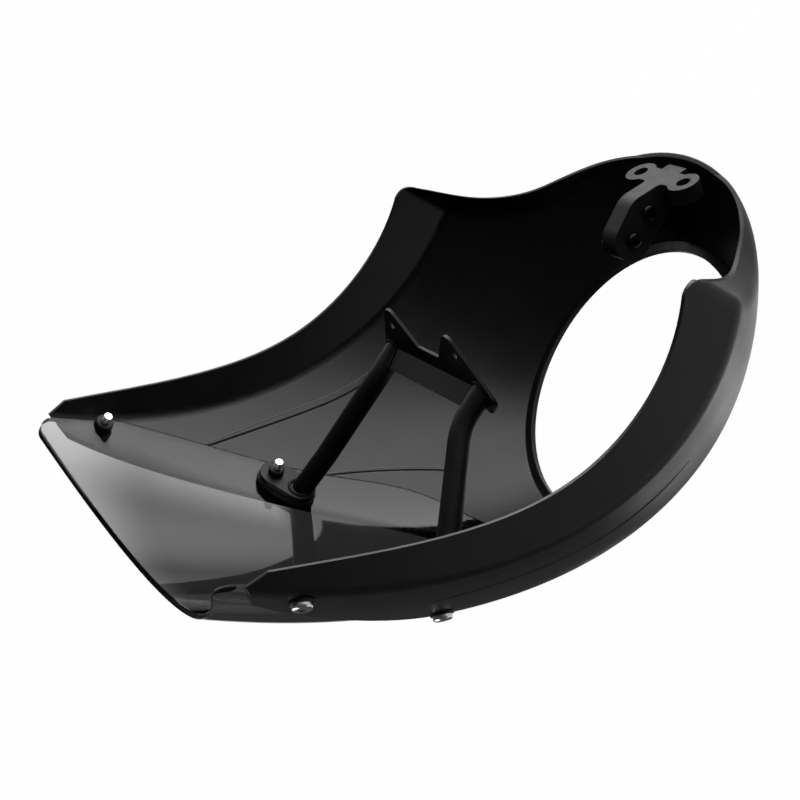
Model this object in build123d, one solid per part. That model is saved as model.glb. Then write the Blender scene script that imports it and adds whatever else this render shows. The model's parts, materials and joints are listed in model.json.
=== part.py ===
from build123d import *
import os
from math import sqrt, radians, cos, sin

# Frame in mm: origin at the centre of the headlight opening, +X to the rider's right,
# +Y forward along the headlight, +Z up.

# Shell: an ellipsoid of revolution about the headlight axis
NOSE_A = 435.0            # half length along Y
NOSE_B = 248.0            # half width across
NOSE_Y = -403.0           # centre of the ellipsoid on the axis
WALL = 2.5
OPENING_R = 88.0
LIP_LENGTH = 3.5          # depth of the opening's rim
REACH = 330.0             # length of the blanks behind the opening
MARGIN = 60.0             # by which cutting blanks run past the shape

# Front view of the shell: bowed sides, fork notches, round chin
SIDE_X = 169.0            # widest half width
SIDE_Z = 56.0             # height of the widest place
SIDE_R = 586.0            # bow of the sides
CHIN_R = 139.0
CHIN_ANGLE = 42.0         # where the chin arc meets the fork notch, below level
EAR_Z = -57.5             # underside of the ears
EAR_R = 12.0
NOTCH_DIP = (134.0, -68.6)   # point of the fork notch, (X, Z)
NOTCH_SLOPE = 0.52           # steepness of the notch there
CREASE_R = 12.0           # outside radius where a side meets the front

# Side view of the shell's rear edge, (Y, Z)
CHIN_EDGE = (-41.5, -130.0)
NOTCH_EDGE = [(-47.6, -113.6), (-54.8, -94.0), (-63.5, -80.0), (-77.6, -68.4), (-94.4, -61.5)]
EAR_TIP = (-111.5, -56.0)
EAR_BACK = (-121.0, -44.5)
REAR_EDGE = [(-116.2, 0.0), (-136.7, 61.0), (-186.0, 111.0)]
HORN_TOP = (-271.5, 164.5)
HORN_TIP = (-278.0, 176.0)
HORN_RISE = (64.0, 40.0)  # direction of the edge ahead of the horn's tip

# Swage lines pressed into each side of the shell, in front view: (X, Z, width of the line)
CREASE_SWAGE = [(139.8, 156.0, 0.6), (146.0, 136.0, 1.6), (149.0, 114.0, 2.4), (149.3, 89.0, 2.4),
                (150.2, 56.5, 1.8), (150.0, 30.0, 0.6)]
SCREEN_SWAGE = [(110.0, 140.0, 0.6), (105.7, 127.5, 1.4), (97.5, 115.0, 2.4), (85.6, 103.6, 3.0)]
SWAGE_DEPTH = 0.9

# Window of the shell and outline of the windscreen, seen from above, (X, Y)
WINDOW = [(152.0, -282.0), (142.0, -255.0), (124.5, -200.0), (104.0, -146.0), (72.0, -90.0), (41.0, -58.0)]
WINDOW_FOOT = -44.0
SCREEN = [(151.8, -235.0), (138.0, -182.0), (106.8, -108.0), (76.0, -60.0), (41.0, -39.0)]
SCREEN_FOOT = -30.0
SCREEN_T = 3.0
SEAT_GAP = 0.8            # between shell and windscreen
SIDE_GAP = 4.0            # windscreen clear of the shell's sides
SCREEN_CORNER = (-290.6, 183.0)   # top corner in side view, (Y, Z)
SCREEN_CORNER_R = 6.5
SCREEN_TOP = -235.2       # middle of the top edge, Y
INSIDE = WALL + SEAT_GAP + SCREEN_T   # depth of the windscreen's inner face

# Windscreen screws, seen from above
OUTER_SCREW = (151.8, -243.9)
INNER_SCREW = (112.8, -136.9)
SCREW_R = 2.5
HOLE_R = 2.8
HEAD_R = 5.5
HEAD_H = 3.0
WASHER_R = 6.6
WASHER_T = 1.4
COLLAR_R = 5.8
COLLAR_H = 5.0
COLLAR_EDGE_R = 1.5
CAP_R = 5.0               # collar on the lug
CAP_H = 4.5
TIP = 6.0                 # screw end standing out of its collar
FIT = 0.1                 # play between touching pieces

# Upper bracket; the plate's outline is (X, distance along the plate from its holes)
PLATE_ORIGIN = (0.0, -153.4, 33.4)
PLATE_DIR = (0.0, 0.817, 0.576)
PLATE_T = 2.0
PLATE_HOLE_X = 38.1
PLATE_HOLE_R = 3.2
PLATE_NOTCH = (12.7, 9.6)
PLATE_EAR = (35.5, -15.0)
PLATE_EAR_R = 7.0
PLATE_WING = [(66.5, 27.0), (54.5, 37.3)]
PLATE_WING_R = 5.0
PLATE_HEEL = (33.0, 23.7)
TUBE_R = 6.75
TUBE_WALL = 1.6
TUBE_PATH = [(52.4, -137.2, 68.0), (78.0, -130.5, 124.0)]   # corners of the right tube
TUBE_BENDS = [40.0, 45.0]   # bend radii there
TUBE_SEAT = 20.0          # place of the tube on the plate, along the plate
LUG_R = 10.0
LUG_T = 4.0
LUG_RIM = 0.8             # pad standing out beyond the lug
PAD_T = 3.5
LUG_DIR = (-15.6, 15.5, 0.0)   # from the screw towards the tube's foot
LUG_LENGTH = 18.5
BAR_Y = -136.0
BAR_T = 3.0
BAR_TOP = 58.0

# Lower bracket: two eyes on a bridge, and a block that is screwed to a rib in the chin
EYE_X = 21.8
EYE_Y = -49.0
EYE_CLEAR = 11.8          # eyes inside the chin's inner face
EYE_FRONT = 12.5          # by which the bracket reaches ahead of the eyes
EYE_NORMAL = (0.0, -0.81, -0.586)
EYE_R = 10.0
EYE_HOLE_R = 4.5
EYE_H = 10.5
BRIDGE_W = 14.0
BRIDGE_T = 7.0
TAB_W = 18.0
TAB_REACH = 13.0          # of the tab, from the line of the eyes
NECK_R = 3.0              # inside corners of the bridge
BLOCK_W = 14.0
BLOCK_BACK = -65.4
BLOCK_FRONT = -37.0
BLOCK_BEND_R = 16.0
BLOCK_SCREWS = [(-52.5, 43.2), (-51.6, 24.2)]   # (Y, height above the eyes)
BLOCK_FRONT_RISE = 15.2   # foot of the block's front face above the eyes
BLOCK_END_R = 13.0
BLOCK_SCREW_R = 3.0
BLOCK_HOLE_R = 3.3
BLOCK_HEAD_R = 4.8
BLOCK_HEAD_H = 3.0
BLOCK_NUT_R = 5.5
BLOCK_NUT_H = 5.0
BLOCK_TIP = 3.0           # screw end standing out of its nut
RIB_T = 4.5
RIB_HIGH = [(-60.0, 51.2), (-44.0, 53.2)]        # top of the rib, (Y, height above the eyes)
RIB_LOW = [(-36.0, 6.2), (-60.0, 25.2)]          # its lower rear edge
RIB_ROOT = [(-24.0, 6.0), (-8.0, 6.0), (-8.0, 30.0), (-30.0, 62.0)]   # (Y, distance outside the opening)


def nose_radius(y):
    """Radius of the shell's outside at a place along the axis."""
    return NOSE_B * sqrt(1 - ((y - NOSE_Y) / NOSE_A) ** 2)


def nose(inset):
    """Solid of revolution of the shell's outside, moved in by inset, cut off at the opening."""
    oval = Pos(0, NOSE_Y) * Ellipse(NOSE_B - inset, NOSE_A - inset)
    half = Pos(NOSE_B / 2, -REACH / 2) * Rectangle(NOSE_B, REACH)
    return Rot(0, -90, 0) * revolve(oval & half, Axis.Y)


def skin_plane(x, y, inset=0.0, x_dir=(0, 1, 0)):
    """Plane on the shell's outside at (x, y), normal pointing out, moved in by inset."""
    z = sqrt(nose_radius(y) ** 2 - x ** 2)
    normal = Vector(x / NOSE_B ** 2, (y - NOSE_Y) / NOSE_A ** 2, z / NOSE_B ** 2).normalized()
    along = Vector(x_dir)
    along = along - normal * along.dot(normal)
    return Plane(origin=Vector(x, y, z) - normal * inset, x_dir=along, z_dir=normal)


def rod(plane, radius, top, bottom):
    """Cylinder on a plane's normal from height top down to height bottom."""
    return plane * Pos(0, 0, bottom) * extrude(Circle(radius), top - bottom)


def side_x(z, inset=0.0):
    """Half width of the bowed side at height z, moved in by inset."""
    radius = SIDE_R - inset
    return SIDE_X - SIDE_R + sqrt(radius ** 2 - (z - SIDE_Z) ** 2)


def front_view(inset):
    """Front outline of the shell as a face in the XZ plane, moved in by inset."""
    low = EAR_Z + inset
    ear = (side_x(low, inset), 0, low)
    lid = (side_x(NOSE_B, inset), 0, NOSE_B)
    a = radians(CHIN_ANGLE)
    chin_r = CHIN_R - inset
    chin = (chin_r * cos(a), 0, -chin_r * sin(a))
    dip = (NOTCH_DIP[0] - inset * NOTCH_SLOPE, 0, NOTCH_DIP[1] + inset * sqrt(1 - NOTCH_SLOPE ** 2))
    side = ThreePointArc(lid, (SIDE_X - inset, 0, SIDE_Z), ear)
    notch = Spline(ear, dip, chin, tangents=[(-1, 0, -0.2), (-sin(a), 0, -cos(a))])
    arc = ThreePointArc(chin, (0, 0, -chin_r), (-chin[0], 0, chin[2]))
    half = side + notch
    face = make_face(Line(lid, (-lid[0], 0, lid[2])) + half + arc + mirror(half, Plane.YZ))
    corners = face.vertices().filter_by(lambda v: abs(v.Z - low) < 0.01)
    return fillet(corners, EAR_R - inset)


def column(inset):
    """The front outline, moved in by inset, as a long block along Y."""
    return extrude(front_view(inset), REACH + MARGIN, dir=(0, -1, 0), both=True)


def swage(line):
    """Block along Y over a swage line that swells and thins along its way."""
    outer = [(x + w / 2, 0, z) for x, z, w in line]
    inner = [(x - w / 2, 0, z) for x, z, w in line]
    ends = Line(outer[-1], inner[-1]) + Line(inner[0], outer[0])
    face = make_face(Spline(*outer) + Spline(*inner) + ends)
    return extrude(face, REACH, dir=(0, -1, 0))


def body(inset):
    """The nose within the front outline, both moved in by inset, with rounded creases and swage lines."""
    blank = nose(inset) & column(inset)
    creases = blank.edges().filter_by(GeomType.BSPLINE).filter_by(lambda e: e.center().Y > FIT - REACH)
    blank = fillet(creases, CREASE_R - inset)
    for line in (CREASE_SWAGE, SCREEN_SWAGE):
        groove = swage(line) - nose(inset + SWAGE_DEPTH)
        blank = blank - groove - mirror(groove, Plane.YZ)
    return blank


def yz(points):
    """Points given as (Y, Z), in the plane X = 0."""
    return [(0, y, z) for y, z in points]


def side_view():
    """Block of everything ahead of the shell's rear edge."""
    notch = Spline(*yz([CHIN_EDGE] + NOTCH_EDGE + [EAR_TIP]))
    ear = Spline(*yz([EAR_TIP, EAR_BACK]), tangents=[(0, -1, 0.1), (0, 0.1, 1)])
    rear = Spline(*yz([EAR_BACK] + REAR_EDGE + [HORN_TOP]))
    over = (HORN_TIP[0] + 2 * HORN_RISE[0], HORN_TIP[1] + 2 * HORN_RISE[1])
    floor = -CHIN_R - MARGIN
    front = [HORN_TOP, HORN_TIP, over, (MARGIN, over[1]), (MARGIN, floor), (CHIN_EDGE[0], floor), CHIN_EDGE]
    face = make_face(notch + ear + rear + Polyline(*yz(front)))
    return extrude(face, NOSE_B, dir=(1, 0, 0), both=True)


def bow(points, foot):
    """U line seen from above through points and foot, mirrored about X = 0."""
    return Spline(*points, (0, foot), *[(-x, y) for x, y in reversed(points)])


def upward(face):
    """Block over a face seen from above, from the height of the shell's widest place."""
    return Pos(0, 0, SIDE_Z) * extrude(face, NOSE_B)


def window():
    """Block of the shell's open window."""
    x, y = WINDOW[0]
    back = Polyline((-x, y), (-x, -REACH), (x, -REACH), (x, y))
    return upward(make_face(bow(WINDOW, WINDOW_FOOT) + back))


def bored(solid):
    """A solid with the windscreen screw holes through it, on both sides."""
    for x, y in (OUTER_SCREW, INNER_SCREW):
        hole = rod(skin_plane(x, y), HOLE_R, INSIDE, -2 * INSIDE)
        solid = solid - hole - mirror(hole, Plane.YZ)
    return solid


def eye_z():
    """Height of the lower bracket's eyes, which keep clear of the chin."""
    return EYE_CLEAR + WALL - min(CHIN_R, nose_radius(EYE_Y + EYE_FRONT))


def above_eyes(points):
    """Points (Y, height above the eyes) as (Y, Z)."""
    return [(y, eye_z() + rise) for y, rise in points]


def rib():
    """Rib inside the chin that carries the lower bracket."""
    root = [(y, -OPENING_R - out) for y, out in RIB_ROOT]
    points = above_eyes(RIB_HIGH) + root + above_eyes(RIB_LOW)
    face = make_face(Polyline(*yz(points), close=True))
    return Pos(BLOCK_W / 2 + FIT, 0, 0) * extrude(face, RIB_T, dir=(1, 0, 0))


def across(y, z, radius, x0, x1):
    """Cylinder along X from x0 to x1."""
    return rod(Plane(origin=(0, y, z), x_dir=(0, 1, 0), z_dir=(1, 0, 0)), radius, x1, x0)


def ring(radius, length):
    """Cylinder on the headlight axis from the opening's front back by length."""
    return rod(Plane(origin=(0, 0, 0), x_dir=(1, 0, 0), z_dir=(0, 1, 0)), radius, 0.0, -length)


def fairing_shell():
    outside = body(0)
    skin = outside - body(WALL)
    lip = (ring(OPENING_R + MARGIN, LIP_LENGTH) & outside) - ring(OPENING_R, LIP_LENGTH)
    holes = [across(y, z, BLOCK_HOLE_R, 0, BLOCK_W + RIB_T) for y, z in above_eyes(BLOCK_SCREWS)]
    skin = skin + lip + (rib() & outside)
    skin = (skin - holes) & side_view()
    return bored(skin - window())


def screen_outline():
    """Windscreen seen from above, with rounded top corners."""
    y, z = SCREEN_CORNER
    x = side_x(z, WALL + SIDE_GAP)
    start = SCREEN[0]
    sides = Line(start, (x, y)) + Line((-start[0], start[1]), (-x, y))
    top = ThreePointArc((-x, y), (0, SCREEN_TOP), (x, y))
    face = make_face(bow(SCREEN, SCREEN_FOOT) + sides + top)
    return fillet(face.vertices().filter_by(lambda v: v.Y < y + FIT), SCREEN_CORNER_R)


def windscreen():
    sheet = nose(WALL + SEAT_GAP) - nose(INSIDE)
    return bored(sheet & upward(screen_outline()) & column(WALL + SIDE_GAP))


def button_screw(head_r, head_h, radius, seat, end):
    """Button-head screw along Z: head on height seat, shank down to height end."""
    head = extrude(Circle(head_r), head_h)
    head = fillet(head.edges().group_by(Axis.Z)[-1], 0.6 * head_h)
    socket = Pos(0, 0, 0.5 * head_h) * extrude(RegularPolygon(0.42 * head_r, 6), head_h)
    return Pos(0, 0, seat) * (head - socket) + rod(Plane.XY, radius, seat, end)


def hex_nut(radius, height, bore, top):
    """Hexagon nut along Z below height top."""
    return Pos(0, 0, top - height) * extrude(RegularPolygon(radius, 6) - Circle(bore), height)


def washer(x, y):
    return skin_plane(x, y) * Pos(0, 0, FIT) * extrude(Circle(WASHER_R) - Circle(HOLE_R), WASHER_T)


def screw(x, y, stack):
    """Windscreen screw whose tip stands out behind a stack of that depth."""
    seat = WASHER_T + 2 * FIT
    return skin_plane(x, y) * button_screw(HEAD_R, HEAD_H, SCREW_R, seat, -stack - TIP)


def collar(plane, radius, height):
    """Round collar below a plane, with a rounded lower edge and a bore for the screw."""
    blank = extrude(Circle(radius), -height)
    blank = fillet(blank.edges().group_by(Axis.Z)[0], COLLAR_EDGE_R)
    return plane * (blank - rod(Plane.XY, SCREW_R + FIT, height, -2 * height))


def lug_plane(inset):
    return skin_plane(*INNER_SCREW, inset, LUG_DIR)


LUG_TOP = INSIDE + PAD_T + 2 * FIT     # depth of the lug's outer face
LUG_BACK = LUG_TOP + LUG_T             # depth of its inner face


def lug_outline(margin=0.0):
    slot = Pos(LUG_LENGTH / 2, 0) * SlotCenterToCenter(LUG_LENGTH, 2 * (LUG_R + margin))
    return slot - Circle(HOLE_R)


def tube_lug():
    return lug_plane(LUG_BACK) * extrude(lug_outline(), LUG_T)


def lug_pad():
    blank = lug_plane(LUG_TOP - FIT) * extrude(lug_outline(LUG_RIM), 4 * PAD_T)
    return blank & nose(INSIDE + FIT)


def plate_plane():
    normal = (0, -PLATE_DIR[2], PLATE_DIR[1])
    return Plane(origin=PLATE_ORIGIN, x_dir=(1, 0, 0), z_dir=normal)


def mount_plate():
    right = [PLATE_NOTCH, PLATE_EAR, *PLATE_WING, PLATE_HEEL]
    left = [(-x, s) for x, s in reversed(right)]
    face = make_face(Polyline(*right, *left, close=True))
    face = fillet(face.vertices().filter_by(lambda v: abs(v.X) > PLATE_EAR[0] + PLATE_EAR_R), PLATE_WING_R)
    ears = face.vertices().filter_by(lambda v: abs(v.Y - PLATE_EAR[1]) < FIT)
    face = fillet(ears, PLATE_EAR_R)
    for side in (-1, 1):
        face = face - Pos(side * PLATE_HOLE_X, 0) * Circle(PLATE_HOLE_R)
    return plate_plane() * extrude(face, -PLATE_T)


def above_plate():
    return plate_plane() * Pos(0, 0, FIT) * extrude(Rectangle(REACH, REACH), REACH)


def tube_path():
    """Centre line of the right tube, running on into the plate and the lug."""
    seat = plate_plane() * Pos(TUBE_PATH[0][0], TUBE_SEAT, -TUBE_R)
    foot = lug_plane(LUG_BACK - TUBE_R) * Pos(LUG_LENGTH, 0, 0)
    return FilletPolyline(seat.position, *TUBE_PATH, foot.position, radius=TUBE_BENDS)


def swept(face):
    """A face swept along the tube's centre line."""
    path = tube_path()
    return sweep(Plane(origin=path @ 0, z_dir=path % 0) * face, path)


def support_tube():
    tube = swept(Circle(TUBE_R) - Circle(TUBE_R - TUBE_WALL)) & above_plate()
    return tube - lug_plane(LUG_BACK + FIT) * extrude(Rectangle(REACH, REACH), REACH)


def cross_bar():
    blank = extrude(Rectangle(2 * TUBE_PATH[0][0], BAR_T), -MARGIN)
    blank = Pos(0, BAR_Y, BAR_TOP) * blank & above_plate()
    space = swept(Circle(TUBE_R + FIT))
    return blank - space - mirror(space, Plane.YZ)


def eye_plane():
    return Plane(origin=(0, EYE_Y, eye_z()), x_dir=(1, 0, 0), z_dir=EYE_NORMAL)


def block_bend():
    """Length of the neck, from the line of the eyes to the bend of the block."""
    return (EYE_Y - BLOCK_BACK) / -EYE_NORMAL[2]


def block_side():
    """Side view of the lower bracket's block."""
    plane = eye_plane()
    low_back = plane.from_local_coords((0, -TAB_REACH, 0))
    low_front = plane.from_local_coords((0, -TAB_REACH, -EYE_H))
    bend = plane.from_local_coords((0, block_bend(), 0))
    y, z = above_eyes(BLOCK_SCREWS)[0]
    front = (0, BLOCK_FRONT, eye_z() + BLOCK_FRONT_RISE)
    arc = ThreePointArc((0, y - BLOCK_END_R, z), (0, y, z + BLOCK_END_R), (0, y + BLOCK_END_R, z))
    rest = Polyline((0, y + BLOCK_END_R, z), front, low_front, low_back, bend, (0, y - BLOCK_END_R, z))
    face = make_face(arc + rest)
    corner = face.vertices().sort_by_distance(bend)[0]
    return fillet(corner, BLOCK_BEND_R)


def bridge_face():
    """Bridge between the eyes, with its tab and the start of the neck, in the plane of the eyes."""
    face = Rectangle(2 * EYE_X, BRIDGE_W) + Pos(0, -TAB_REACH / 2) * Rectangle(TAB_W, TAB_REACH)
    face = face + Pos(0, BRIDGE_W / 2) * Rectangle(BLOCK_W, BRIDGE_W)
    for side in (-1, 1):
        face = face + Pos(side * EYE_X, 0) * Circle(EYE_R)
    inner = face.vertices().filter_by(lambda v: abs(v.Y - BRIDGE_W / 2) < FIT and abs(v.X) < EYE_X)
    return fillet(inner, NECK_R)


def lower_bracket():
    block = Pos(-BLOCK_W / 2, 0, 0) * extrude(block_side(), BLOCK_W, dir=(1, 0, 0))
    plane = eye_plane()
    solid = block + plane * extrude(bridge_face(), -BRIDGE_T)
    for side in (-1, 1):
        middle = plane * Pos(side * EYE_X, 0, 0)
        solid = solid + middle * extrude(Circle(EYE_R), -EYE_H)
        solid = solid - middle * extrude(Circle(EYE_HOLE_R), 2 * EYE_H, both=True)
    return solid - [across(y, z, BLOCK_HOLE_R, -BLOCK_W, BLOCK_W) for y, z in above_eyes(BLOCK_SCREWS)]


def block_plane(y, z):
    """Plane in the middle of the block, facing the rider's left."""
    return Plane(origin=(0, y, z), x_dir=(0, 1, 0), z_dir=(-1, 0, 0))


def block_screw(y, z):
    seat = BLOCK_W / 2 + FIT
    end = -(BLOCK_W / 2 + RIB_T + BLOCK_NUT_H + BLOCK_TIP)
    return block_plane(y, z) * button_screw(BLOCK_HEAD_R, BLOCK_HEAD_H, BLOCK_SCREW_R, seat, end)


def block_nut(y, z):
    top = -(BLOCK_W / 2 + RIB_T + 2 * FIT)
    return block_plane(y, z) * hex_nut(BLOCK_NUT_R, BLOCK_NUT_H, BLOCK_SCREW_R + FIT, top)


def pieces():
    """All pieces by node name."""
    made = {
        "fairing_shell": fairing_shell(),
        "windscreen": windscreen(),
        "mount_plate": mount_plate(),
        "cross_bar": cross_bar(),
        "lower_bracket": lower_bracket(),
    }
    right = {
        "support_tube": support_tube(),
        "tube_lug": tube_lug(),
        "lug_pad": lug_pad(),
        "outer_washer": washer(*OUTER_SCREW),
        "inner_washer": washer(*INNER_SCREW),
        "outer_screw": screw(*OUTER_SCREW, INSIDE + COLLAR_H),
        "inner_screw": screw(*INNER_SCREW, LUG_BACK + CAP_H),
        "outer_collar": collar(skin_plane(*OUTER_SCREW, INSIDE + FIT), COLLAR_R, COLLAR_H),
        "inner_collar": collar(lug_plane(LUG_BACK + FIT), CAP_R, CAP_H),
    }
    for name, shape in right.items():
        made[name + "_right"] = shape
        made[name + "_left"] = mirror(shape, Plane.YZ)
    for name, (y, z) in zip(("upper", "lower"), above_eyes(BLOCK_SCREWS)):
        made["bracket_screw_" + name] = block_screw(y, z)
        made["bracket_nut_" + name] = block_nut(y, z)
    return made


os.makedirs("parts", exist_ok=True)
for node, shape in pieces().items():
    export_step(shape, "parts/" + node + ".step")
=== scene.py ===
import bpy
import json
import math
from mathutils import Matrix, Vector


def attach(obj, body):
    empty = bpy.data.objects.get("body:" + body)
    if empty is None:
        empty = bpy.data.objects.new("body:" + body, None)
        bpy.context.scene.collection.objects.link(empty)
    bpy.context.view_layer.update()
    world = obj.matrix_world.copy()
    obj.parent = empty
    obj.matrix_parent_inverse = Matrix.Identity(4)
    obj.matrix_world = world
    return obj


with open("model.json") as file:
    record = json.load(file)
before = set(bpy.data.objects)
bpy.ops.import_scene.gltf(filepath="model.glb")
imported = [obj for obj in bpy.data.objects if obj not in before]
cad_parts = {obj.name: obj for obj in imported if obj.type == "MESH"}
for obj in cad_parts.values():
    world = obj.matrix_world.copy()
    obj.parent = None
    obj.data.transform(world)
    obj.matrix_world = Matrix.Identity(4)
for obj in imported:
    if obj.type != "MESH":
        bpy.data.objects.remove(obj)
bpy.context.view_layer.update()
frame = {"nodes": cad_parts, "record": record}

# Camera of the photograph, in metres: it looks into the fairing from behind, rolled upside down
CAMERA_AT = Vector((-0.8795, -0.6986, 0.0366))
LOOK_ALONG = Vector((0.8473, 0.5301, 0.0331))
IMAGE_UP = Vector((0.2563, -0.3535, -0.8997))
SENSOR = 36.0
LENS = 80.13
CLIP_START = 0.01
CLIP_END = 200.0

# Stage: a floor, and a backdrop that just fills the photograph's frame
FLOOR_Z = -0.42
FLOOR_SIZE = 40.0
BACKDROP_AWAY = 13.0             # from the camera
VIEW_MARGIN = 1.03
HALF_VIEW = SENSOR / LENS / 2 * VIEW_MARGIN   # half width for each metre away, with the margin
SQUARE = ((-1, -1), (1, -1), (1, 1), (-1, 1))
PAPER_SHADES = (0.88, 0.90)
PAPER_ROUGHNESS = 0.9
PAPER_WAVES = 3.0
PAPER_GLOW = 0.995               # share of the paper's white that needs no lamp
SHADOW_GLOW = 0.85               # the same under the object
SHADOW_MIDDLE = (0.0, -0.15, FLOOR_Z)
SHADOW_FADE = (0.3, 0.8)         # distances from that place
REFLECTION_SHADE_SIDE = (-0.75, -0.66, 0.0)   # to the rear left, where mirrored paper is dimmed as painted shade in reflections
REFLECTION_SHADE_FADE = (0.8, 0.45)           # distances that way
AMBIENT = 0.10

# Lamps: place, size and power of each softbox
LIT_MIDDLE = (0, -0.1, 0.05)
SOFTBOXES = {
    "side_softbox": ((-1.25, 1.0, 0.3), 1.3, 2.5),
    "nose_softbox": ((0.32, 1.75, 0.06), 0.9, 2.1),
    "overhead_softbox": ((0.0, -0.2, 1.5), 1.2, 14.0),
}
UNDER_AT = Vector((0.2, -0.4, -0.41))
UNDER_SIZE = 1.3
UNDER_POWER = 20.0
UNDER_CORE = 0.2                 # radius that is not softened
UPWARD = Vector((0, 0, 1))

# Shading nodes
NOISE_MIDDLE = (0.3, 0.7)        # where most of a noise lies
BEVEL_SAMPLES = 4
OPENNESS_SAMPLES = 8

# The shell's outside is an ellipsoid turned about the lamp's axis
NOSE_LONG = 0.435
NOSE_WIDE = 0.248
NOSE_CENTRE = Vector((0.0, -0.403, 0.0))

# Shell's finish; heights are z, and a pair gives where a change starts and where it ends
SHELL_GLOSS = 0.2
GLARE_GLOSS = 0.002              # of flat faces seen edge on
GLARE_SLANT = (0.82, 0.97)
FLAT_FACE = (0.3, 0.6)           # share of the normal that is upright
SKIN_FACE = (0.3, 0.6)           # from a cut edge to a face of the sheet
EDGE_GLOSS = (0.2, 0.4)          # share of the gloss on cut edges, at the chin and above it
EDGE_HEIGHT = (-0.1, -0.04)
CHIN_GLOSS = 0.2                 # share of the gloss under the chin
CHIN_TURN = (-0.25, -0.75)
SHELL_BLACK = 0.0020
SHELL_MOTTLE = 0.0016
SHELL_WAVES = 38.0
SHELL_ROUGHNESS = (0.34, 0.40)
INSIDE_SMOOTHER = 0.08
PRESSED_HIGHLIGHT = 0.045             # painted highlight along the pressed lines inside
PRESSED_REACH = 0.0015
PRESSED_OPENNESS = (0.97, 0.87)
PRESSED_HEIGHT = (0.05, 0.075)

# Screen's finish; places are y
SCREEN_FOOT = -0.044
WINDOW_CURVE = 0.097             # x squared at the window's edge for each metre behind the foot
# Transmitted colour: the smoked tint, with painted shade through the middle and painted light towards the
# top edge and the sides
SMOKE_AND_SHADE_MIDDLE = 0.018
SMOKE_AND_LIGHT_TOP = 0.318
PAINTED_LIGHT_SIDES = 0.182              # painted light, added to either at the window's edge
SMOKE_SLANT = (0.75, 0.9)
EDGE_ON_SMOKE = 0.05             # share of these that is left where the sheet is seen edge on
TOP_FADE = (-0.215, -0.285)
SIDE_FADE = (0.5, 1.0)           # 1 is the window's edge
SIDE_START = (-0.128, -0.142)
FLARE_START = -0.13
FLARE_HOLD = -0.015
FOOT_FLARE = 1.2
SCREEN_IOR = (1.23, 1.01)        # facing and edge on
IOR_SLANT = (0.7, 0.97)
STRIP_IOR = 0.08                 # added where the shell lies behind the screen
STRIP_START = (0.9, 1.1)
BORDER_REACH = 0.0015
BORDER_LEAN = (0.995, 0.95)
BORDER_DULL = 0.2
# where the top edge ends: past it the side edges are painted dark as a gap shadow and their borders are
# duller
TOP_EDGE = (-0.25, -0.265)
EDGE_SHADES = (0.18, 0.006)      # at the inner and at the outer side
EDGE_LEVELS = (0.977, 0.981)     # 1 is the shell's outside
SHEET_FACE = 0.6                 # less than this is a cut edge

# Places of the fittings on the right side, in metres
OUTER_SCREW = (0.1518, -0.2439)
INNER_SCREW = (0.1128, -0.1369)
OUTER_STACK = 0.0113             # depth of the collar's end below the skin
INNER_STACK = 0.0185
LUG_BACK = 0.014
LUG_LENGTH = 0.0185
LUG_DIR = Vector((-0.0156, 0.0155, 0.0))
TUBE_R = 0.00675
TUBE_CORNERS = (Vector((0.0524, -0.1372, 0.068)), Vector((0.078, -0.1305, 0.124)))
PLATE_AT = Vector((0.0, -0.1534, 0.0334))
PLATE_ALONG = Vector((0.0, 0.817, 0.576)).normalized()
PLATE_NORMAL = Vector((0.0, -0.576, 0.817)).normalized()
TUBE_SEAT = 0.020                # along the plate
BAR_FACES = (-0.1375, -0.1345)
BAR_TOP = 0.058

# Threads and welds
TIP = 0.006                      # bare screw end
SHANK_R = 0.0025
CREST_R = 0.00275
THREAD_SINK = 0.0001             # of the ridge's foot in the shank
PITCH = 0.0008
RIDGE_HALF = PITCH * 0.46        # half the width of the ridge's foot
TURN_POINTS = 28
BEAD_R = 0.0011
BEAD_SIDES = 10
BEAD_STEP = 0.0014               # from one ripple of a weld to the next
RIPPLE = 0.13
RIPPLE_POINTS = 4


def new_material(name):
    """A material with a Principled shader, its node tree and that shader."""
    material = bpy.data.materials.new(name)
    material.use_nodes = True
    tree = material.node_tree
    return material, tree, tree.nodes["Principled BSDF"]


def add(tree, kind, **inputs):
    """A node of that kind, with its inputs set by name: spaces are written as underscores."""
    node = tree.nodes.new(kind)
    for name, value in inputs.items():
        node.inputs[name.replace("_", " ")].default_value = value
    return node


def calc(tree, operation, first, second=0.0):
    """Arithmetic on sockets or plain numbers."""
    node = tree.nodes.new("ShaderNodeMath")
    node.operation = operation
    for socket, value in zip(node.inputs, (first, second)):
        if isinstance(value, float):
            socket.default_value = value
        else:
            tree.links.new(value, socket)
    return node.outputs["Value"]


def vector_calc(tree, operation, first, second=(0, 0, 0), result="Vector"):
    """Vector arithmetic on a socket and a socket or fixed vector."""
    node = tree.nodes.new("ShaderNodeVectorMath")
    node.operation = operation
    tree.links.new(first, node.inputs[0])
    if isinstance(second, bpy.types.NodeSocket):
        tree.links.new(second, node.inputs[1])
    else:
        node.inputs[1].default_value = second
    return node.outputs[result]


def step(tree, value, start, end, low=0.0, high=1.0):
    """Smooth change from low to high while the value goes from start to end."""
    node = add(tree, "ShaderNodeMapRange", From_Min=start, From_Max=end, To_Min=low, To_Max=high)
    node.interpolation_type = "SMOOTHSTEP"
    tree.links.new(value, node.inputs["Value"])
    return node.outputs["Result"]


def geometry(tree, output):
    return tree.nodes.new("ShaderNodeNewGeometry").outputs[output]


def axes(tree, output):
    """X, Y and Z of a geometry output."""
    split = tree.nodes.new("ShaderNodeSeparateXYZ")
    tree.links.new(geometry(tree, output), split.inputs["Vector"])
    return split.outputs["X"], split.outputs["Y"], split.outputs["Z"]


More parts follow.
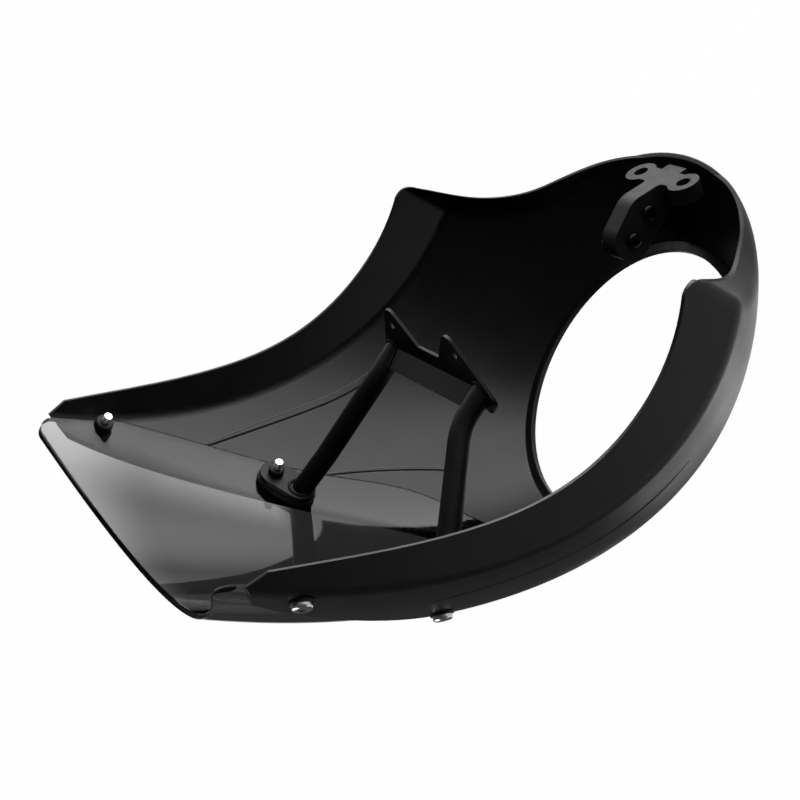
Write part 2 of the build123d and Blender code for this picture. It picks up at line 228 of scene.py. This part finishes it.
def noise(tree, scale, detail=3.0):
    """Noise over the object's own coordinates; scale is in waves per metre."""
    place = tree.nodes.new("ShaderNodeTexCoord").outputs["Object"]
    node = add(tree, "ShaderNodeTexNoise", Scale=scale, Detail=detail)
    tree.links.new(place, node.inputs["Vector"])
    return node.outputs["Fac"]


def spread(tree, fac, low, high):
    """The middle of a noise stretched to the range from low to high."""
    start, end = NOISE_MIDDLE
    node = add(tree, "ShaderNodeMapRange", From_Min=start, From_Max=end, To_Min=low, To_Max=high)
    tree.links.new(fac, node.inputs["Value"])
    return node.outputs["Result"]


def grey(shade):
    return shade, shade, shade


def tint(tree, fac, dark, light):
    """Colour between dark and light by a noise."""
    node = tree.nodes.new("ShaderNodeMix")
    node.data_type = "RGBA"
    node.inputs["A"].default_value = (*dark, 1.0)
    node.inputs["B"].default_value = (*light, 1.0)
    tree.links.new(fac, node.inputs["Factor"])
    return node.outputs["Result"]


def bump(tree, height, depth, strength=1.0, normal=None):
    """Bump of a height field, depth in metres."""
    node = add(tree, "ShaderNodeBump", Strength=strength, Distance=depth)
    tree.links.new(height, node.inputs["Height"])
    if normal is not None:
        tree.links.new(normal, node.inputs["Normal"])
    return node.outputs["Normal"]


def rounded_edges(tree, radius):
    """Normal that rolls over the edges within that radius."""
    node = add(tree, "ShaderNodeBevel", Radius=radius)
    node.samples = BEVEL_SAMPLES
    return node.outputs["Normal"]


def openness(tree, reach):
    """1 for a place in the open, less beside other surfaces within that reach."""
    node = add(tree, "ShaderNodeAmbientOcclusion", Distance=reach)
    node.samples = OPENNESS_SAMPLES
    return node.outputs["AO"]


def slant(tree):
    """How far a surface turns from facing (0) to edge on (1)."""
    return tree.nodes.new("ShaderNodeLayerWeight").outputs["Facing"]


def facing(tree):
    """How far a surface faces outward: 1 on the outside, 0 on a cut edge, -1 on the hollow side."""
    ray = vector_calc(tree, "SUBTRACT", geometry(tree, "Position"), NOSE_CENTRE)
    shares = (NOSE_WIDE ** -2, NOSE_LONG ** -2, NOSE_WIDE ** -2)
    outward = vector_calc(tree, "NORMALIZE", vector_calc(tree, "MULTIPLY", ray, shares))
    return vector_calc(tree, "DOT_PRODUCT", outward, geometry(tree, "Normal"), "Value")


def shell_gloss(tree, face):
    """Less gloss on cut edges, under the chin, and on flat faces seen edge on, which would glare."""
    upright = axes(tree, "Normal")[2]
    flat = step(tree, calc(tree, "ABSOLUTE", upright), *FLAT_FACE)
    flat_slant = calc(tree, "MULTIPLY", slant(tree), flat)
    gloss = step(tree, flat_slant, *GLARE_SLANT, SHELL_GLOSS, GLARE_GLOSS)
    edge = step(tree, axes(tree, "Position")[2], *EDGE_HEIGHT, *EDGE_GLOSS)
    skin_share = step(tree, calc(tree, "ABSOLUTE", face), *SKIN_FACE)
    gloss = calc(tree, "MULTIPLY", gloss, calc(tree, "MAXIMUM", skin_share, edge))
    outer_upright = calc(tree, "MULTIPLY", upright, calc(tree, "MAXIMUM", face, 0.0))
    return calc(tree, "MULTIPLY", gloss, step(tree, outer_upright, *CHIN_TURN, 1.0, CHIN_GLOSS))


def pressed_line_highlight(tree, inner):
    """Painted highlight: paler in the pressed lines on the upper part of the inside, where they are less
    open.
    """
    upper = step(tree, axes(tree, "Position")[2], *PRESSED_HEIGHT)
    painted_highlight = step(tree, openness(tree, PRESSED_REACH), *PRESSED_OPENNESS, 0.0, PRESSED_HIGHLIGHT)
    return calc(tree, "MULTIPLY", painted_highlight, calc(tree, "MULTIPLY", upper, inner))


def shell_plastic():
    """Black moulded plastic: satin outside, fine grain inside, with a painted highlight along its pressed
    lines.
    """
    material, tree, shader = new_material("shell_plastic")
    face = facing(tree)
    inner = calc(tree, "LESS_THAN", face, 0.0)
    mottle = noise(tree, SHELL_WAVES)
    black = calc(tree, "ADD", calc(tree, "MULTIPLY", mottle, SHELL_MOTTLE), SHELL_BLACK)
    # base colour: black, with a painted highlight along the pressed lines
    tree.links.new(calc(tree, "ADD", black, pressed_line_highlight(tree, inner)), shader.inputs["Base Color"])
    tree.links.new(shell_gloss(tree, face), shader.inputs["Specular IOR Level"])
    smoother = calc(tree, "MULTIPLY", inner, INSIDE_SMOOTHER)
    rough = calc(tree, "SUBTRACT", spread(tree, mottle, *SHELL_ROUGHNESS), smoother)
    tree.links.new(rough, shader.inputs["Roughness"])
    grain = calc(tree, "MULTIPLY", noise(tree, scale=1500.0, detail=2.0), inner)
    normal = bump(tree, grain, depth=0.00012, strength=0.5, normal=rounded_edges(tree, radius=0.0008))
    waves = noise(tree, scale=160.0, detail=2.0)
    normal = bump(tree, waves, depth=0.00004, strength=0.35, normal=normal)
    tree.links.new(normal, shader.inputs["Normal"])
    return material


def screen_aside(tree, x, y):
    """How far a place lies from the screen's middle (0) to its window's edge (1) and beyond."""
    from_foot = calc(tree, "SUBTRACT", SCREEN_FOOT, y)
    edge_square = calc(tree, "MULTIPLY", from_foot, WINDOW_CURVE)
    return calc(tree, "DIVIDE", calc(tree, "MULTIPLY", x, x), edge_square)


def screen_smoke_and_shade(tree, aside, y):
    """Smoked tint of the screen with painted shade through its middle and painted light towards its sides,
    but for its foot, and towards its top edge.
    """
    sides = step(tree, aside, *SIDE_FADE, 0.0, PAINTED_LIGHT_SIDES)
    sides = calc(tree, "MULTIPLY", sides, step(tree, y, *SIDE_START))
    return calc(tree, "ADD", sides, step(tree, y, *TOP_FADE, SMOKE_AND_SHADE_MIDDLE, SMOKE_AND_LIGHT_TOP))


def screen_flare(tree, y, face):
    """Height that turns the inner face outward behind FLARE_START and at its foot, and inward between."""
    behind = calc(tree, "SUBTRACT", FLARE_START, y)
    held = calc(tree, "MAXIMUM", behind, FLARE_HOLD)
    ahead = calc(tree, "SUBTRACT", behind, held)
    height = calc(tree, "MULTIPLY", held, calc(tree, "ADD", behind, ahead))
    foot = calc(tree, "MULTIPLY", calc(tree, "MULTIPLY", ahead, ahead), FOOT_FLARE)
    inside = calc(tree, "MINIMUM", calc(tree, "SIGN", face), 0.0)
    return calc(tree, "MULTIPLY", calc(tree, "SUBTRACT", height, foot), inside)


def border(tree, reach):
    """1 beside a cut edge, 0 from that distance on."""
    rolled = rounded_edges(tree, reach)
    lean = vector_calc(tree, "DOT_PRODUCT", rolled, geometry(tree, "Normal"), "Value")
    return step(tree, lean, *BORDER_LEAN)


def screen_ior(tree, aside, y):
    """Less where it is seen edge on and beside its side edges, more where the shell lies behind it."""
    ior = step(tree, slant(tree), *IOR_SLANT, *SCREEN_IOR)
    ior = calc(tree, "ADD", ior, step(tree, aside, *STRIP_START, 0.0, STRIP_IOR))
    below_top = step(tree, y, *reversed(TOP_EDGE), 0.0, BORDER_DULL)
    return calc(tree, "SUBTRACT", ior, calc(tree, "MULTIPLY", border(tree, BORDER_REACH), below_top))


def edge_tone_and_gap_shadow(tree, y):
    """The top edge of the screen is pale at its inner side; its other cut edges are dark, partly their
    smoked tint and partly a painted shadow of the gap beside the shell.
    """
    ray = vector_calc(tree, "SUBTRACT", geometry(tree, "Position"), NOSE_CENTRE)
    shares = (1 / NOSE_WIDE, 1 / NOSE_LONG, 1 / NOSE_WIDE)
    level = vector_calc(tree, "LENGTH", vector_calc(tree, "MULTIPLY", ray, shares), result="Value")
    shade = step(tree, level, *EDGE_LEVELS, *EDGE_SHADES)
    return calc(tree, "MULTIPLY", shade, step(tree, y, *TOP_EDGE))


def smoked_screen():
    """Smoked clear plastic with painted shade through its middle and painted light towards its sides and
    top, darker seen edge on, flared a little towards its top, with dull cut edges, the side ones painted
    dark as a gap shadow.
    """
    material, tree, shader = new_material("smoked_screen")
    face = facing(tree)
    x, y, _ = axes(tree, "Position")
    aside = screen_aside(tree, x, y)
    sheet = calc(tree, "GREATER_THAN", calc(tree, "ABSOLUTE", face), SHEET_FACE)
    uneven = spread(tree, noise(tree, scale=30.0), low=0.95, high=1.05)
    # painted shade and light in the transmitted colour
    smoke_and_shade = calc(tree, "MULTIPLY", screen_smoke_and_shade(tree, aside, y), uneven)
    edge_on = step(tree, slant(tree), *SMOKE_SLANT, 1.0, EDGE_ON_SMOKE)
    smoke_and_shade = calc(tree, "MULTIPLY", smoke_and_shade, edge_on)
    # cut edges: pale top edge, and side edges painted dark as a gap shadow
    edge = calc(tree, "MULTIPLY", edge_tone_and_gap_shadow(tree, y), calc(tree, "SUBTRACT", 1.0, sheet))
    shade = calc(tree, "ADD", calc(tree, "MULTIPLY", smoke_and_shade, sheet), edge)
    tree.links.new(shade, shader.inputs["Base Color"])
    tree.links.new(sheet, shader.inputs["Transmission Weight"])
    tree.links.new(screen_ior(tree, aside, y), shader.inputs["IOR"])
    rough = spread(tree, noise(tree, scale=60.0), low=0.02, high=0.05)
    tree.links.new(rough, shader.inputs["Roughness"])
    normal = bump(tree, screen_flare(tree, y, face), depth=1.0)
    waves = noise(tree, scale=25.0, detail=1.0)
    normal = bump(tree, waves, depth=0.00004, strength=0.3, normal=normal)
    tree.links.new(normal, shader.inputs["Normal"])
    return material


def plain_finish(name, waves, shades, rough, grain, edge=None, metal=0.0, gloss=0.5):
    """Finish whose colour and roughness follow one noise; grain is a bump's scale, depth and strength."""
    material, tree, shader = new_material(name)
    shader.inputs["Metallic"].default_value = metal
    shader.inputs["Specular IOR Level"].default_value = gloss
    mottle = noise(tree, waves)
    tree.links.new(tint(tree, mottle, *shades), shader.inputs["Base Color"])
    tree.links.new(spread(tree, mottle, *rough), shader.inputs["Roughness"])
    scale, depth, strength = grain
    rolled = rounded_edges(tree, edge) if edge else None
    tree.links.new(bump(tree, noise(tree, scale), depth, strength, rolled), shader.inputs["Normal"])
    return material


def coated_steel():
    """Black powder coat with its fine orange peel."""
    return plain_finish("coated_steel", waves=90.0, shades=(grey(0.003), grey(0.006)), rough=(0.36, 0.46),
                        grain=(900.0, 0.0001, 0.35), edge=0.0004, gloss=0.15)


def cast_bracket():
    """Grey-black cast bracket with a fine pitted skin."""
    return plain_finish("cast_bracket", waves=140.0, shades=(grey(0.006), grey(0.012)), rough=(0.40, 0.52),
                        grain=(1200.0, 0.00012, 0.4), edge=0.0006, gloss=0.095)


def bright_screw():
    """Plated steel with a faint turned finish."""
    return plain_finish("bright_screw", waves=600.0, shades=((0.40, 0.40, 0.39), (0.56, 0.55, 0.53)),
                        rough=(0.16, 0.28), grain=(2500.0, 0.00003, 0.3), metal=1.0)


def black_fastener():
    """Blackened steel."""
    return plain_finish("black_fastener", waves=500.0, shades=((0.010, 0.010, 0.011), (0.022, 0.022, 0.023)),
                        rough=(0.32, 0.46), grain=(1800.0, 0.00004, 0.3), metal=1.0)


def black_rubber():
    """Matte rubber."""
    return plain_finish("black_rubber", waves=300.0, shades=(grey(0.004), grey(0.009)), rough=(0.5, 0.65),
                        grain=(1600.0, 0.00008, 0.4), gloss=0.2)


FINISHES = {
    "shell_plastic": shell_plastic(),
    "smoked_screen": smoked_screen(),
    "coated_steel": coated_steel(),
    "cast_bracket": cast_bracket(),
    "bright_screw": bright_screw(),
    "black_fastener": black_fastener(),
    "black_rubber": black_rubber(),
}


def dress_nodes():
    """Gives each CAD node the finish of its slot in the record."""
    for part in frame["record"]["subparts"]:
        mesh = frame["nodes"][part["node"]].data
        mesh.materials.clear()
        mesh.materials.append(FINISHES[part["material_slot"]])


def mesh_piece(name, points, faces, material):
    """A new mesh object, shaded smooth."""
    mesh = bpy.data.meshes.new(name)
    mesh.from_pydata(points, [], faces)
    mesh.materials.append(material)
    mesh.shade_smooth()
    piece = bpy.data.objects.new(name, mesh)
    bpy.context.collection.objects.link(piece)
    return piece


def both_sides(name, points, faces, slot):
    """A piece on the right and its mirror image on the left, fixed to the frame."""
    for side, sign in (("right", 1), ("left", -1)):
        placed = [Vector((sign * p.x, p.y, p.z)) for p in points]
        ordered = [face[::sign] for face in faces]
        piece = mesh_piece(f"{name}_{side}", placed, ordered, FINISHES[slot])
        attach(piece, "root")


def skin(x, y):
    """Point of the shell's outside over a place in plan, and the direction outward there."""
    ahead = (y - NOSE_CENTRE.y) / NOSE_LONG
    z = math.sqrt(NOSE_WIDE ** 2 * (1 - ahead ** 2) - x ** 2)
    outward = Vector((x / NOSE_WIDE ** 2, ahead / NOSE_LONG, z / NOSE_WIDE ** 2))
    return Vector((x, y, z)), outward.normalized()


def across(axis):
    """Two directions square to an axis and to each other."""
    first = axis.orthogonal().normalized()
    return first, axis.cross(first).normalized()


def loops(rings, closed):
    """Faces between rings of points numbered one after another."""
    count = len(rings[0])
    faces = []
    for i in range(len(rings) if closed else len(rings) - 1):
        low = i * count
        high = (i + 1) % len(rings) * count
        for k in range(count):
            turn = (k + 1) % count
            faces.append((low + k, low + turn, high + turn, high + k))
    if not closed:
        last = (len(rings) - 1) * count
        faces.append(tuple(reversed(range(count))))
        faces.append(tuple(range(last, last + count)))
    return faces


def thread(name, place, depth):
    """Ridge that winds along the bare end of a screw."""
    top, outward = skin(*place)
    start = top - outward * depth
    first, second = across(outward)
    rings = []
    for i in range(int((TIP - 2 * RIDGE_HALF) / PITCH * TURN_POINTS)):
        angle = 2 * math.pi * i / TURN_POINTS
        spoke = first * math.cos(angle) + second * math.sin(angle)
        middle = start - outward * (RIDGE_HALF + PITCH * i / TURN_POINTS)
        root = middle + spoke * (SHANK_R - THREAD_SINK)
        crest = middle + spoke * CREST_R
        rings.append([root + outward * RIDGE_HALF, crest, root - outward * RIDGE_HALF])
    both_sides(name, [p for ring in rings for p in ring], loops(rings, False), "bright_screw")


def bead(name, path, up, closed):
    """Rippled weld along a path; up is never along the path."""
    turns = [2 * math.pi * k / BEAD_SIDES for k in range(BEAD_SIDES)]
    rings = []
    for i, point in enumerate(path):
        after = path[(i + 1) % len(path)] if closed or i + 1 < len(path) else point
        before = path[i - 1] if closed or i else point
        side = (after - before).cross(up).normalized()
        over = side.cross(after - before).normalized()
        radius = BEAD_R * (1 + RIPPLE * math.cos(2 * math.pi * i / RIPPLE_POINTS))
        rings.append([point + (side * math.cos(a) + over * math.sin(a)) * radius for a in turns])
    both_sides(name, [p for ring in rings for p in ring], loops(rings, closed), "coated_steel")


def tube_ring(at, axis, plane_at, plane_normal):
    """Points where the tube's outside meets a plane."""
    first, second = across(axis)
    count = RIPPLE_POINTS * round(2 * math.pi * TUBE_R / BEAD_STEP)
    ring = []
    for i in range(count):
        angle = 2 * math.pi * i / count
        point = at + (first * math.cos(angle) + second * math.sin(angle)) * TUBE_R
        ring.append(point + axis * ((plane_at - point).dot(plane_normal) / axis.dot(plane_normal)))
    return ring


def bar_joint(seat, rise, y):
    """Line up the tube where a face of the cross bar ends on it."""
    foot = PLATE_AT.z + (y - PLATE_AT.y) * PLATE_ALONG.z / PLATE_ALONG.y + BEAD_R
    count = RIPPLE_POINTS * round((BAR_TOP - foot) / BEAD_STEP)
    line = []
    for i in range(count + 1):
        z = foot + (BAR_TOP - foot) * i / count
        axis = seat + rise * ((z - seat.z) / rise.z)
        line.append(Vector((axis.x - math.sqrt(TUBE_R ** 2 - (y - axis.y) ** 2), y, z)))
    return line


def tube_welds():
    """Welds of a support tube to the mount plate, to its lug and to the cross bar."""
    over_plate = PLATE_AT + Vector((TUBE_CORNERS[0].x, 0, 0)) + PLATE_ALONG * TUBE_SEAT
    seat = over_plate - PLATE_NORMAL * TUBE_R
    rise = (TUBE_CORNERS[0] - seat).normalized()
    bead("plate_weld", tube_ring(seat, rise, PLATE_AT, PLATE_NORMAL), rise, True)
    top, outward = skin(*INNER_SCREW)
    along = (LUG_DIR - outward * LUG_DIR.dot(outward)).normalized()
    lug = top - outward * LUG_BACK
    foot = lug + along * LUG_LENGTH
    reach = (foot - TUBE_CORNERS[1]).normalized()
    bead("lug_weld", tube_ring(foot, reach, lug, outward), reach, True)
    for name, y in zip(("bar_weld_rear", "bar_weld_front"), BAR_FACES):
        bead(name, bar_joint(seat, rise, y), Vector((0, 1, 0)), False)


def dim_world():
    world = bpy.data.worlds.new("studio")
    world.use_nodes = True
    shader = world.node_tree.nodes["Background"]
    shader.inputs["Color"].default_value = (*grey(1.0), 1.0)
    shader.inputs["Strength"].default_value = AMBIENT
    bpy.context.scene.world = world


def background(tree):
    """1 for rays that show the surroundings: straight, through the screen or mirrored, but less for paper
    mirrored on the rear left, which is painted shade in reflections.
    """
    path = tree.nodes.new("ShaderNodeLightPath")
    straight = calc(tree, "MAXIMUM", path.outputs["Is Camera Ray"], path.outputs["Is Transmission Ray"])
    from_middle = vector_calc(tree, "SUBTRACT", geometry(tree, "Position"), SHADOW_MIDDLE)
    aside = vector_calc(tree, "DOT_PRODUCT", from_middle, REFLECTION_SHADE_SIDE, "Value")
    # painted shade: paper seen in reflections is dimmed towards the rear left
    mirrored = calc(tree, "MULTIPLY", path.outputs["Is Glossy Ray"], step(tree, aside, *REFLECTION_SHADE_FADE))
    return calc(tree, "MAXIMUM", straight, mirrored)


def paper(name):
    """Pale paper that shows white, but less so under the object, where its shadow falls."""
    material, tree, shader = new_material(name)
    shader.inputs["Roughness"].default_value = PAPER_ROUGHNESS
    shader.inputs["Specular IOR Level"].default_value = 0.0
    shade = tint(tree, noise(tree, PAPER_WAVES), grey(PAPER_SHADES[0]), grey(PAPER_SHADES[1]))
    tree.links.new(shade, shader.inputs["Base Color"])
    white = add(tree, "ShaderNodeEmission", Color=(*grey(1.0), 1.0), Strength=1.0)
    away = vector_calc(tree, "DISTANCE", geometry(tree, "Position"), SHADOW_MIDDLE, "Value")
    glow = step(tree, away, *SHADOW_FADE, SHADOW_GLOW, PAPER_GLOW)
    mix = tree.nodes.new("ShaderNodeMixShader")
    tree.links.new(calc(tree, "MULTIPLY", background(tree), glow), mix.inputs["Fac"])
    tree.links.new(shader.outputs["BSDF"], mix.inputs[1])
    tree.links.new(white.outputs["Emission"], mix.inputs[2])
    tree.links.new(mix.outputs["Shader"], tree.nodes["Material Output"].inputs["Surface"])
    return material


def camera_axes():
    """Right, up and back of the camera."""
    back = -LOOK_ALONG.normalized()
    right = IMAGE_UP.cross(back).normalized()
    return right, back.cross(right), back


def backdrop_corners():
    """Corners of a sheet that just fills the photograph's frame."""
    right, up, back = camera_axes()
    middle = CAMERA_AT - back * BACKDROP_AWAY
    reach = BACKDROP_AWAY * HALF_VIEW
    return [middle + (right * x + up * y) * reach for x, y in SQUARE]


def lay_stage():
    half = FLOOR_SIZE / 2
    corners = [(x * half, y * half, FLOOR_Z) for x, y in SQUARE]
    sheet = paper("white_paper")
    mesh_piece("floor", corners, [(0, 1, 2, 3)], sheet)
    mesh_piece("backdrop", backdrop_corners(), [(0, 1, 2, 3)], sheet)


def softbox(name, at, target, size, power):
    """Round area lamp that the camera doesn't see."""
    lamp = bpy.data.lights.new(name, "AREA")
    lamp.shape = "DISK"
    lamp.size = size
    lamp.energy = power
    light = bpy.data.objects.new(name, lamp)
    light.location = at
    light.rotation_euler = (Vector(target) - Vector(at)).to_track_quat("-Z", "Y").to_euler()
    light.visible_camera = False
    bpy.context.collection.objects.link(light)
    return lamp


def soften(lamp, centre, rim, core):
    """Fades a lamp's light from its core out to its rim, both distances from its centre."""
    lamp.use_nodes = True
    tree = lamp.node_tree
    away = vector_calc(tree, "DISTANCE", geometry(tree, "Position"), centre, "Value")
    tree.links.new(step(tree, away, rim, core), tree.nodes["Emission"].inputs["Strength"])


def set_lamps():
    for name, (at, size, power) in SOFTBOXES.items():
        softbox(name, at, LIT_MIDDLE, size, power)
    under = softbox("under_softbox", UNDER_AT, UNDER_AT + UPWARD, UNDER_SIZE, UNDER_POWER)
    soften(under, UNDER_AT, UNDER_SIZE / 2, UNDER_CORE)


def set_camera():
    data = bpy.data.cameras.new("camera")
    data.sensor_width = SENSOR
    data.lens = LENS
    data.clip_start = CLIP_START
    data.clip_end = CLIP_END
    view = bpy.data.objects.new("camera", data)
    turn = Matrix(camera_axes()).transposed()
    view.matrix_world = Matrix.Translation(CAMERA_AT) @ turn.to_4x4()
    bpy.context.collection.objects.link(view)
    bpy.context.scene.camera = view


dress_nodes()
thread("outer_thread", OUTER_SCREW, OUTER_STACK)
thread("inner_thread", INNER_SCREW, INNER_STACK)
tube_welds()
dim_world()
lay_stage()
set_lamps()
set_camera()
bpy.context.scene.view_settings.view_transform = "Standard"
